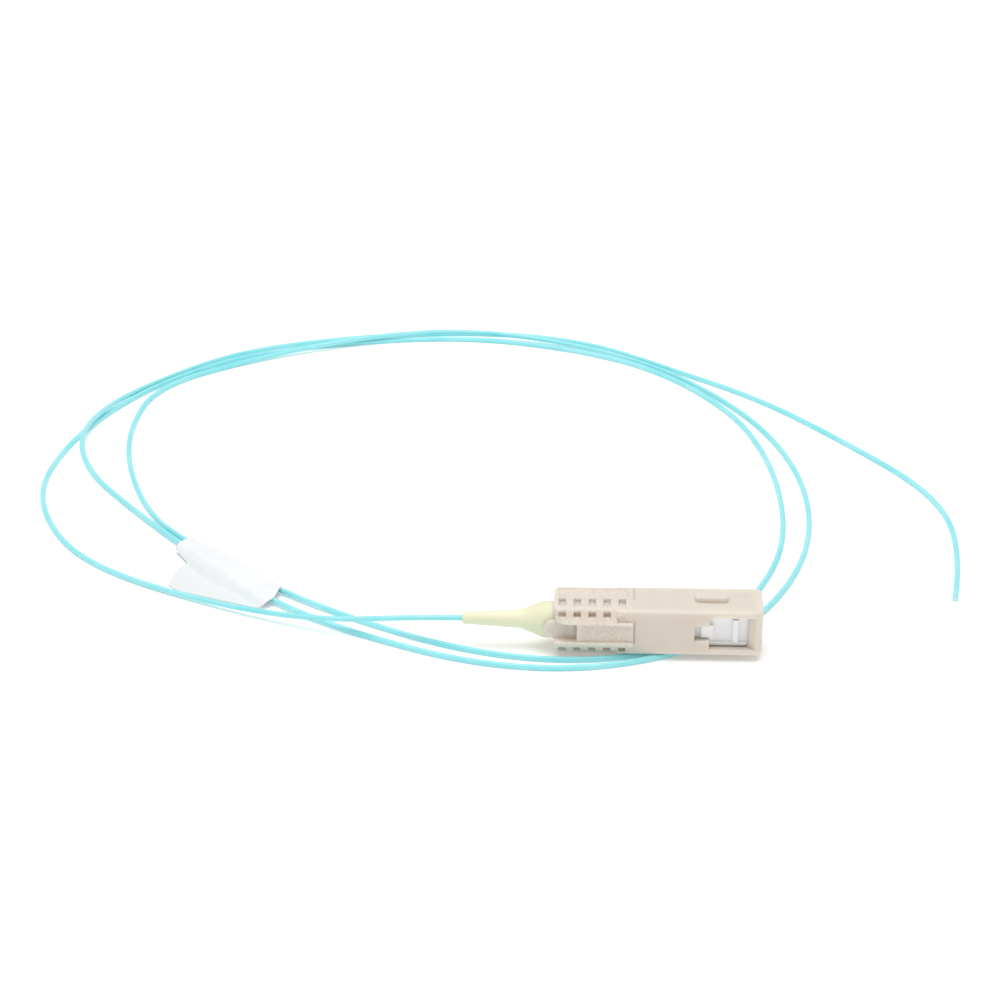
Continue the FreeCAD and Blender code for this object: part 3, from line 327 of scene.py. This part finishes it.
def mixed(tree, share, tone, other):
    """One colour turned into another by a share; the other may be plain values or a socket."""
    mix = tree.nodes.new("ShaderNodeMix")
    mix.data_type = "RGBA"
    tree.links.new(share, mix.inputs["Factor"])
    tree.links.new(tone, mix.inputs["A"])
    if isinstance(other, bpy.types.NodeSocket):
        tree.links.new(other, mix.inputs["B"])
    else:
        mix.inputs["B"].default_value = rgba(other)
    return mix.outputs["Result"]


def relief(tree, shader, value, strength, depth, edge=0.0):
    """Bump from a 0 to 1 value over edges softened to a radius; depth and edge are in metres."""
    bump = tree.nodes.new("ShaderNodeBump")
    if edge:
        soft = tree.nodes.new("ShaderNodeBevel")
        soft.samples = 6
        soft.inputs["Radius"].default_value = edge
        tree.links.new(soft.outputs["Normal"], bump.inputs["Normal"])
    bump.inputs["Strength"].default_value = strength
    bump.inputs["Distance"].default_value = depth
    tree.links.new(value, bump.inputs["Height"])
    tree.links.new(bump.outputs["Normal"], shader.inputs["Normal"])


def tint(tree, shader, tone):
    """Gives the shader its colour."""
    tree.links.new(tone, shader.inputs["Base Color"])


def gloss(tree, shader, value, low, high):
    """Gives the shader an uneven roughness, from low to high."""
    tree.links.new(spread(tree, value, low, high), shader.inputs["Roughness"])


def moulded_finish(name, light, dark, roughness, texture, depth, edge=0.0):
    """Moulded plastic: slow colour drift, fine surface texture and uneven gloss."""
    finish, tree, shader = new_finish(name, roughness)
    uneven = 0.07
    drift = grain(tree, scale=260.0, detail=2.0)
    tint(tree, shader, tones(tree, drift, dark, light))
    fine = grain(tree, scale=texture, detail=4.0)
    gloss(tree, shader, fine, low=roughness - uneven, high=roughness + uneven)
    relief(tree, shader, fine, strength=0.35, depth=depth, edge=edge)
    shader.inputs["IOR"].default_value = 1.5
    return finish


def eroded_finish(housing):
    """Beige moulding, smooth in front; spark-eroded with open pores on the finger grip, its colour there
    lightened as painted light.
    """
    finish = moulded_finish("beige_moulding_painted_light", housing.colour, housing.colour_dark, roughness=0.5,
                            texture=5200.0, depth=0.00002, edge=housing.edge_round)
    tree, shader = finish.node_tree, shader_of(finish)
    smooth_colour = shader.inputs["Base Color"].links[0].from_socket
    smooth_normal = shader.inputs["Normal"].links[0].from_socket
    grip = along_x(tree, housing.grip_front, housing.grip_front - housing.grip_edge)

    pores = grain(tree, scale=2300.0, detail=3.0)
    bump = tree.nodes.new("ShaderNodeBump")
    bump.inputs["Distance"].default_value = housing.pore_depth
    tree.links.new(grip, bump.inputs["Strength"])
    tree.links.new(spread(tree, pores, low=0.0, high=1.0), bump.inputs["Height"])
    tree.links.new(smooth_normal, bump.inputs["Normal"])
    tree.links.new(bump.outputs["Normal"], shader.inputs["Normal"])

    # The grip's colour, lighter by painted light against the shade in its deep channel, speckled with darker
    # pores.
    eroded = tones(tree, pores, housing.pore_colour, housing.grip_colour_painted_light, low=0.38, high=0.56)
    tint(tree, shader, mixed(tree, grip, smooth_colour, eroded))
    shader.inputs["Subsurface Weight"].default_value = housing.light_share
    shader.inputs["Subsurface Radius"].default_value = (1.0, 1.0, 1.0)
    shader.inputs["Subsurface Scale"].default_value = housing.light_reach
    return finish


def metal_finish(name, tone, roughness, stretch=(1.0, 1.0, 1.0)):
    """Drawn or turned metal with fine lines."""
    finish, tree, shader = new_finish(name, roughness)
    lines = grain(tree, scale=3000.0, detail=3.0, stretch=stretch)
    tint(tree, shader, tones(tree, lines, shaded(tone, 0.8), tone))
    gloss(tree, shader, lines, low=roughness - 0.08, high=roughness + 0.1)
    relief(tree, shader, lines, strength=0.3, depth=0.000005)
    shader.inputs["Metallic"].default_value = 1.0
    return finish


def buffer_finish(fibre):
    """Extruded aqua buffer: slow colour drift and a satin skin."""
    finish, tree, shader = new_finish("aqua_buffer", roughness=0.38)
    drift = grain(tree, scale=140.0, detail=3.0)
    tint(tree, shader, tones(tree, drift, fibre.buffer_deep, fibre.buffer_colour, low=0.32, high=0.68))
    skin = grain(tree, scale=5200.0, detail=2.0)
    gloss(tree, shader, skin, low=0.32, high=0.46)
    relief(tree, shader, skin, strength=0.25, depth=0.00001)
    return finish


def coating_finish(fibre):
    """Clear coating round the glass, seen where the fibre is cut."""
    finish, tree, shader = new_finish("fibre_coating", roughness=0.2)
    cloud = grain(tree, scale=9000.0, detail=2.0)
    tint(tree, shader, tones(tree, cloud, fibre.coating_colour, shaded(fibre.coating_colour, 1.1)))
    return finish


def film_finish(label):
    """White film with a faint show-through of the fibre, greyer where it is stuck, and fine creases."""
    finish, tree, shader = new_finish("label_film", roughness=0.42)
    drift = grain(tree, scale=330.0, detail=3.0)
    film = tones(tree, drift, label.tint, label.colour, low=0.36, high=0.52)
    tab = tree.nodes.new("ShaderNodeAttribute")
    tab.attribute_name = "stuck"
    tint(tree, shader, mixed(tree, tab.outputs["Fac"], film, label.tab_colour))
    crease = grain(tree, scale=900.0, detail=4.0)
    gloss(tree, shader, crease, low=0.34, high=0.5)
    relief(tree, shader, crease, strength=0.35, depth=0.00006)
    return finish


def rubber_finish(boot):
    """Cream rubber with painted shade on the flared head fading out behind it, greener drifts and a matt
    skin.
    """
    finish, tree, shader = new_finish("cream_rubber_painted_shade", roughness=0.55)
    # Painted shade: the darker head colour fades into the neck's colour behind the head.
    pale = along_x(tree, boot.head_rear, boot.head_rear - boot.pale_run)
    rubber = tones(tree, pale, boot.head_painted_shade_colour, boot.neck_colour, low=0.0, high=1.0)
    drift = spread(tree, grain(tree, scale=210.0, detail=2.0), low=0.0, high=boot.shade)
    tint(tree, shader, mixed(tree, drift, rubber, boot.shade_colour))
    skin = grain(tree, scale=3600.0, detail=3.0)
    gloss(tree, shader, skin, low=0.48, high=0.62)
    relief(tree, shader, skin, strength=0.3, depth=0.00002)
    shader.inputs["Sheen Weight"].default_value = 0.1
    return finish


def ceramic_finish(inner):
    """Polished ceramic with a faint cloud."""
    finish, tree, shader = new_finish("polished_ceramic", roughness=0.14)
    cloud = grain(tree, scale=900.0, detail=2.0)
    tint(tree, shader, tones(tree, cloud, shaded(inner.ferrule_colour, 0.97), inner.ferrule_colour))
    gloss(tree, shader, cloud, low=0.1, high=0.18)
    shader.inputs["IOR"].default_value = 1.9
    return finish


def glass_finish(inner):
    """Bare glass, dark inside the ferrule."""
    finish, tree, shader = new_finish("fibre_glass", roughness=0.05)
    drift = grain(tree, scale=7000.0, detail=1.0)
    tint(tree, shader, tones(tree, drift, inner.glass_dark, inner.glass_colour))
    shader.inputs["IOR"].default_value = 1.46
    return finish


def floor_finish(stage):
    """Matt pale floor with a slight glow of its own."""
    finish, tree, shader = new_finish("pale_floor", roughness=0.85)
    drift = grain(tree, scale=3.0, detail=2.0)
    tint(tree, shader, tones(tree, drift, stage.floor_colour, shaded(stage.floor_colour, 1.02)))
    shader.inputs["Specular IOR Level"].default_value = 0.1
    shader.inputs["Emission Color"].default_value = rgba(WHITE)
    shader.inputs["Emission Strength"].default_value = stage.floor_glow
    return finish


def smooth_over(mesh):
    """Smooth shading, with true edges kept sharp."""
    mesh.shade_smooth()
    mesh.set_sharp_from_angle(angle=SHARP_ANGLE)


def link(name, data):
    """Puts new data into the scene as an object."""
    thing = bpy.data.objects.new(name, data)
    bpy.context.scene.collection.objects.link(thing)
    return thing


def show(name, shape, finish, body):
    """Links a finished mesh or curve as a piece that rides on a body."""
    piece = link(name, shape)
    shape.materials.append(finish)
    if isinstance(shape, bpy.types.Mesh):
        smooth_over(shape)
    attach(piece, body)
    return piece


def paint(node, finish):
    """Gives a carried-over CAD node its finish."""
    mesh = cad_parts[node].data
    mesh.materials.clear()
    mesh.materials.append(finish)


def mesh_of(bm, name):
    """Ends a bmesh as a mesh."""
    mesh = bpy.data.meshes.new(name)
    bm.to_mesh(mesh)
    bm.free()
    return mesh


class PIGTAIL_OT_stage(bpy.types.Operator):
    """Pale floor, soft light and the camera at the photograph's angle"""
    bl_idname = "pigtail.stage"
    bl_label = "Stage"

    def execute(self, context):
        stage, scene = settings(context, "stage"), context.scene
        lens = bpy.data.cameras.new("camera")
        lens.lens = stage.camera_lens
        lens.sensor_width = 36.0
        lens.clip_start = 0.01
        camera = link("camera", lens)
        camera.location = stage.camera_place
        camera.rotation_euler = stage.camera_turn
        scene.camera = camera

        bm = bmesh.new()
        bmesh.ops.create_grid(bm, x_segments=2, y_segments=2, size=stage.floor_side / 2)
        bmesh.ops.translate(bm, vec=(0.0, 0.0, FLOOR), verts=bm.verts)
        floor = link("floor", mesh_of(bm, "floor"))
        floor.data.materials.append(floor_finish(stage))

        world = bpy.data.worlds.new("studio")
        world.use_nodes = True
        sky = world.node_tree.nodes["Background"]
        sky.inputs["Color"].default_value = rgba(WHITE)
        sky.inputs["Strength"].default_value = stage.sky
        scene.world = world
        scene.view_settings.view_transform = "Standard"
        for name, energy, side, where in (
            ("key_light", stage.key_power, stage.key_side, stage.key_place),
            ("fill_light", stage.fill_power, stage.fill_side, stage.fill_place),
        ):
            lamp = bpy.data.lights.new(name, "AREA")
            lamp.shape = "SQUARE"
            lamp.size = side
            lamp.energy = energy
            light = link(name, lamp)
            light.location = where
            aim = Vector(stage.light_aim) - Vector(where)
            light.rotation_euler = aim.to_track_quat("-Z", "Y").to_euler()
        return {"FINISHED"}


class FilmFold:
    """How the label's film lies: a loop round two strands that falls to a flat tab."""
    # Where the loop starts and which way its strands run, seen from above.
    START = Vector((-0.077, 0.0155))
    TURN = math.radians(132.5)
    ALONG = Vector((math.cos(TURN), math.sin(TURN)))
    ACROSS = Vector((-ALONG.y, ALONG.x))
    # The loop's length before its outline is cut, and the part of it ahead of the start.
    SPAN, LEAD = 0.031, 0.004
    # Where along the strands the loop starts to rise and to sink, and how long each takes.
    RISE_START, RISE_RUN = 0.004, 0.009
    SINK_START, SINK_RUN = 0.013, 0.014
    # Shares of the way round where the lower layer, the far bend, the top and the fall end.
    LOWER_END, BEND_END, TOP_END, FALL_END = 0.3, 0.42, 0.56, 0.72
    # In film thicknesses: the tab's upper layer, what the fall leaves, and where film counts as loose.
    TAB_LAYERS, FALL_LAYERS, LOOSE_LAYERS = 1.6, 3, 2
    # Height over which stuck film turns into loose film.
    LOOSE_RUN = 0.0011
    # Across the strands: the outline's far edge and the tab's edge.
    FAR_EDGE, REACH = -0.0046, 0.01035
    # The mouth's outline: from the far edge it slants to a bulged lip, then along the tab.
    FAR_MOUTH, MOUTH_SLANT = 0.0031, 0.767
    LIP_START, LIP_END = 0.0014, 0.0043
    LIP, LIP_RISE, LIP_BULGE = -0.0015, 0.0001, 0.0005
    TAB_SLANT = 2.295
    # The tail's outline: from the far edge it slants to a step, then follows the tab's lobe.
    FAR_TAIL, TAIL_SLANT = 0.0262, 0.145
    STEP_START, STEP_RUN = 0.0018, 0.0016
    LOBE_START, LOBE_REACH = 0.0029, 0.00706
    LOBE_ROOT, LOBE_DROP, LOBE_BULGE = 0.0201, 0.0045, 0.00075
    # Wrinkles: share of their height, folds to the metre and slice of the noise.
    WRINKLES = ((0.75, 420.0, 1.7), (0.35, 1100.0, 6.1))
    # How often an edge is worked out again from the place that it gave.
    EDGE_PASSES = 5

    def __init__(self, label):
        self.label = label

    def section(self, s):
        """Far edge, shoulder, height and fall of the loop at a place along the strands."""
        label = self.label
        blend = (s + self.LEAD) / self.SPAN
        far = label.mouth_far + blend * (label.tail_far - label.mouth_far)
        shoulder = label.mouth_shoulder + blend * (label.tail_shoulder - label.mouth_shoulder)
        fall = label.mouth_fall + blend * (label.tail_fall - label.mouth_fall)
        rise = eased((s - self.RISE_START) / self.RISE_RUN)
        sink = eased((s - self.SINK_START) / self.SINK_RUN)
        height = label.mouth_height + rise * (label.crown_height - label.mouth_height)
        return far, shoulder, height + sink * (label.tail_height - label.crown_height), fall

    def fold(self, s, p):
        """Across and up for a place along the strands and a share p of the way round the fold."""
        far, shoulder, top, fall = self.section(s)
        film = self.label.thickness
        floor, roof = film / 2, top - film / 2
        bend = (top - film) / 2
        crown = bend + film / 2 - far
        low = self.TAB_LAYERS * film
        run = fall * (top - self.FALL_LAYERS * film)
        if p < self.LOWER_END:
            return self.REACH + (crown - self.REACH) * p / self.LOWER_END, floor
        if p < self.BEND_END:
            angle = math.pi * (p - self.LOWER_END) / (self.BEND_END - self.LOWER_END)
            return crown - bend * math.sin(angle), floor + bend * (1 - math.cos(angle))
        if p < self.TOP_END:
            share = (p - self.BEND_END) / (self.TOP_END - self.BEND_END)
            return crown + (shoulder - crown) * share, roof
        if p < self.FALL_END:
            share = (p - self.TOP_END) / (self.FALL_END - self.TOP_END)
            return shoulder + share * run, roof - eased(share) * (roof - low)
        share = (p - self.FALL_END) / (1 - self.FALL_END)
        foot = shoulder + run
        return foot + (self.REACH - foot) * share, low

    def mouth(self, t):
        """Where the film starts along the strands, for a place across them."""
        if t < self.LIP_START:
            return self.FAR_MOUTH - self.MOUTH_SLANT * (t - self.FAR_EDGE)
        if t < self.LIP_END:
            share = (t - self.LIP_START) / (self.LIP_END - self.LIP_START)
            return self.LIP + self.LIP_RISE * share - self.LIP_BULGE * math.sin(math.pi * share)
        return self.LIP + self.LIP_RISE + self.TAB_SLANT * (t - self.LIP_END)

    def tail(self, t):
        """Where the film stops along the strands, for a place across them."""
        loop_end = self.FAR_TAIL - self.TAIL_SLANT * (t - self.FAR_EDGE)
        share = max(0.0, (t - self.LOBE_START) / self.LOBE_REACH)
        bulge = self.LOBE_BULGE * math.sin(math.pi * min(share, 1.0))
        lobe = self.LOBE_ROOT - self.LOBE_DROP * share + bulge
        return loop_end + eased((t - self.STEP_START) / self.STEP_RUN) * (lobe - loop_end)

    def edge(self, rule, p, guess):
        """The place along the strands where the film's edge lies, for a share p of the way round."""
        s = guess
        for _ in range(self.EDGE_PASSES):
            s = rule(self.fold(s, p)[0])
        return s

    def wrinkled(self, s, t):
        """Height of the film's wrinkles at a place on it, as a share."""
        return sum(share * noise.noise(Vector((s * folds, t * folds, layer)))
                   for share, folds, layer in self.WRINKLES)

    def point(self, u, p):
        """A point of the film, u of the way along it and p of the way round, and how loose it is there."""
        label = self.label
        lower = eased((self.BEND_END - p) / (self.BEND_END - self.LOWER_END))
        first = self.edge(self.mouth, p, guess=0.0) + label.lower_short * lower
        last = self.edge(self.tail, p, guess=0.02) - label.lower_short * lower
        s = first + u * (last - first)
        t, z = self.fold(s, p)
        loose = eased((z - self.LOOSE_LAYERS * label.thickness) / self.LOOSE_RUN)
        z += loose * label.wrinkle * self.wrinkled(s, t)
        flat = self.START + self.ALONG * s + self.ACROSS * t
        return (flat.x, flat.y, FLOOR + FILM_LIFT + z), loose


class PIGTAIL_OT_label(bpy.types.Operator):
    """Film label folded round two strands, its ends stuck together as a flat tab"""
    bl_idname = "pigtail.label"
    bl_label = "Film label"

    def execute(self, context):
        label = settings(context, "label")
        film = FilmFold(label)
        bm = bmesh.new()
        bmesh.ops.create_grid(bm, x_segments=label.along, y_segments=label.around, size=1.0)
        stuck = bm.verts.layers.float.new("stuck")
        for vert in bm.verts:
            vert.co, loose = film.point((vert.co.x + 1) / 2, (vert.co.y + 1) / 2)
            vert[stuck] = 1.0 - loose
        bmesh.ops.recalc_face_normals(bm, faces=bm.faces)
        piece = show("label_film", mesh_of(bm, "label_film"), film_finish(label), "plug")
        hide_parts("label_sleeve")
        solid = piece.modifiers.new("film", "SOLIDIFY")
        solid.thickness = label.thickness
        solid.offset = 0.0
        return {"FINISHED"}


class PIGTAIL_OT_fibre(bpy.types.Operator):
    """Buffered fibre laid in loose loops, and its cut end"""
    bl_idname = "pigtail.fibre"
    bl_label = "Fibre"

    # The coating at the cut end and the rim round its middle, as shares of the fibre's diameter.
    COATING_SHARE, RIM_SHARE = 0.28, 0.21
    # How far the coating stands up, how far its middle stands above that, and how far it is sunk in.
    STAND, CROWN, SUNK = 0.00003, 0.00002, 0.00001

    def laid_line(self, fibre):
        """The fibre as one smooth line with a round section."""
        line = bpy.data.curves.new("fibre", "CURVE")
        line.dimensions = "3D"
        line.bevel_depth = fibre.diameter / 2
        line.bevel_resolution = 5
        line.resolution_u = 10
        line.use_fill_caps = True
        spline = line.splines.new("NURBS")
        spline.points.add(len(FIBRE_ROUTE) - 1)
        for point, where in zip(spline.points, FIBRE_ROUTE):
            point.co = (*where, 1.0)
        spline.order_u = 3
        spline.use_endpoint_u = True
        return line

    def cut_end(self, fibre):
        """A low round button on the fibre's cut face."""
        end = Vector(FIBRE_ROUTE[-1])
        facing = (end - Vector(FIBRE_ROUTE[-2])).normalized()
        bm = bmesh.new()
        bmesh.ops.create_circle(bm, cap_ends=True, segments=32, radius=fibre.diameter * self.COATING_SHARE)
        raised = bmesh.ops.extrude_face_region(bm, geom=bm.faces[:])["geom"]
        tip = [part for part in raised if isinstance(part, bmesh.types.BMVert)]
        cap = [part for part in raised if isinstance(part, bmesh.types.BMFace)]
        bmesh.ops.translate(bm, vec=(0.0, 0.0, self.STAND), verts=tip)
        bmesh.ops.inset_region(bm, faces=cap, thickness=fibre.diameter * self.RIM_SHARE, depth=self.CROWN)
        bmesh.ops.rotate(bm, cent=(0.0, 0.0, 0.0), verts=bm.verts,
                         matrix=facing.to_track_quat("Z", "Y").to_matrix())
        bmesh.ops.translate(bm, vec=end - facing * self.SUNK, verts=bm.verts)
        bmesh.ops.recalc_face_normals(bm, faces=bm.faces)
        return mesh_of(bm, "fibre_cut_end")

    def execute(self, context):
        fibre = settings(context, "fibre")
        finish = buffer_finish(fibre)
        piece = show("fibre", self.laid_line(fibre), finish, "plug")
        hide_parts("fibre_cord")
        paint("fibre_inner", finish)
        core = show("fibre_cut_end", self.cut_end(fibre), coating_finish(fibre), "plug")
        return {"FINISHED"}


class PIGTAIL_OT_housing(bpy.types.Operator):
    """Beige push-pull housing with moulded edges, and an eroded texture and painted light on the finger grip
    """
    bl_idname = "pigtail.housing"
    bl_label = "Outer housing"

    def execute(self, context):
        paint("outer_housing", eroded_finish(settings(context, "housing")))
        return {"FINISHED"}


class PIGTAIL_OT_plug_frame(bpy.types.Operator):
    """White frame with latch ridges and stop bosses"""
    bl_idname = "pigtail.plug_frame"
    bl_label = "Plug frame"

    def execute(self, context):
        plug = settings(context, "frame")
        white = moulded_finish("white_moulding", plug.colour, plug.colour_dark, roughness=0.36,
                               texture=4200.0, depth=0.00001, edge=plug.edge_round)
        shader_of(white).inputs["Coat Weight"].default_value = 0.35
        shader_of(white).inputs["Coat Roughness"].default_value = 0.2
        paint("plug_frame", white)
        return {"FINISHED"}


class PIGTAIL_OT_boot(bpy.types.Operator):
    """Cream strain relief boot, with painted shade on its head that fades along the neck, and greener drifts
    """
    bl_idname = "pigtail.boot"
    bl_label = "Boot"

    def execute(self, context):
        paint("boot", rubber_finish(settings(context, "boot")))
        return {"FINISHED"}


class PIGTAIL_OT_spring(bpy.types.Operator):
    """Coil spring between the flange and the stop ring, copied with smooth shading"""
    bl_idname = "pigtail.spring"
    bl_label = "Spring"

    def execute(self, context):
        spring = settings(context, "spring")
        bm = bmesh.new()
        bm.from_mesh(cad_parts["spring"].data)
        bmesh.ops.remove_doubles(bm, verts=bm.verts, dist=SAME_PLACE)
        coil = link("spring_coil", mesh_of(bm, "spring_coil"))
        smooth_over(coil.data)
        coil.data.materials.append(metal_finish("spring_wire", spring.colour, roughness=0.28))
        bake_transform(coil)
        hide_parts("spring")
        return {"FINISHED"}


class PIGTAIL_OT_inner(bpy.types.Operator):
    """Finishes of the ferrule, its flange and glass, and the stop ring"""
    bl_idname = "pigtail.inner"
    bl_label = "Inner parts"

    def execute(self, context):
        inner = settings(context, "inner")
        paint("ferrule", ceramic_finish(inner))
        paint("ferrule_flange", metal_finish("plated_metal", inner.flange_colour, roughness=0.3,
                                             stretch=(4.0, 0.4, 0.4)))
        paint("stop_ring", moulded_finish("grey_moulding", inner.ring_colour, shaded(inner.ring_colour, 0.92),
                                          roughness=0.45, texture=4500.0, depth=0.00002))
        paint("glass_fibre", glass_finish(inner))
        return {"FINISHED"}


class PIGTAIL_PT_sidebar(bpy.types.Panel):
    """Builds the pigtail's pieces and shows their settings"""
    bl_idname = "PIGTAIL_PT_sidebar"
    bl_label = "Fibre pigtail"
    bl_space_type = "VIEW_3D"
    bl_region_type = "UI"
    bl_category = "Pigtail"

    def draw(self, context):
        for maker, group in MAKERS:
            box = self.layout.box()
            box.operator(maker.bl_idname)
            values = settings(context, group)
            for name in values.bl_rna.properties.keys():
                if name not in {"rna_type", "name"}:
                    box.prop(values, name)


GROUPS = {
    "stage": PigtailStage,
    "fibre": PigtailFibre,
    "housing": PigtailHousing,
    "frame": PigtailFrame,
    "boot": PigtailBoot,
    "label": PigtailLabel,
    "spring": PigtailSpring,
    "inner": PigtailInner,
}
MAKERS = [
    (PIGTAIL_OT_stage, "stage"),
    (PIGTAIL_OT_label, "label"),
    (PIGTAIL_OT_fibre, "fibre"),
    (PIGTAIL_OT_housing, "housing"),
    (PIGTAIL_OT_plug_frame, "frame"),
    (PIGTAIL_OT_boot, "boot"),
    (PIGTAIL_OT_spring, "spring"),
    (PIGTAIL_OT_inner, "inner"),
]


def register():
    for name, group in GROUPS.items():
        bpy.utils.register_class(group)
        setattr(bpy.types.Scene, "pigtail_" + name, PointerProperty(type=group))
    for maker, _ in MAKERS:
        bpy.utils.register_class(maker)
    bpy.utils.register_class(PIGTAIL_PT_sidebar)


def unregister():
    bpy.utils.unregister_class(PIGTAIL_PT_sidebar)
    for maker, _ in reversed(MAKERS):
        bpy.utils.unregister_class(maker)
    for name, group in reversed(list(GROUPS.items())):
        delattr(bpy.types.Scene, "pigtail_" + name)
        bpy.utils.unregister_class(group)


def main():
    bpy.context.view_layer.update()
    register()
    bpy.ops.pigtail.stage()
    bpy.ops.pigtail.label()
    bpy.ops.pigtail.fibre()
    bpy.ops.pigtail.housing()
    bpy.ops.pigtail.plug_frame()
    bpy.ops.pigtail.boot()
    bpy.ops.pigtail.spring()
    bpy.ops.pigtail.inner()


if __name__ == "__main__":
    main()
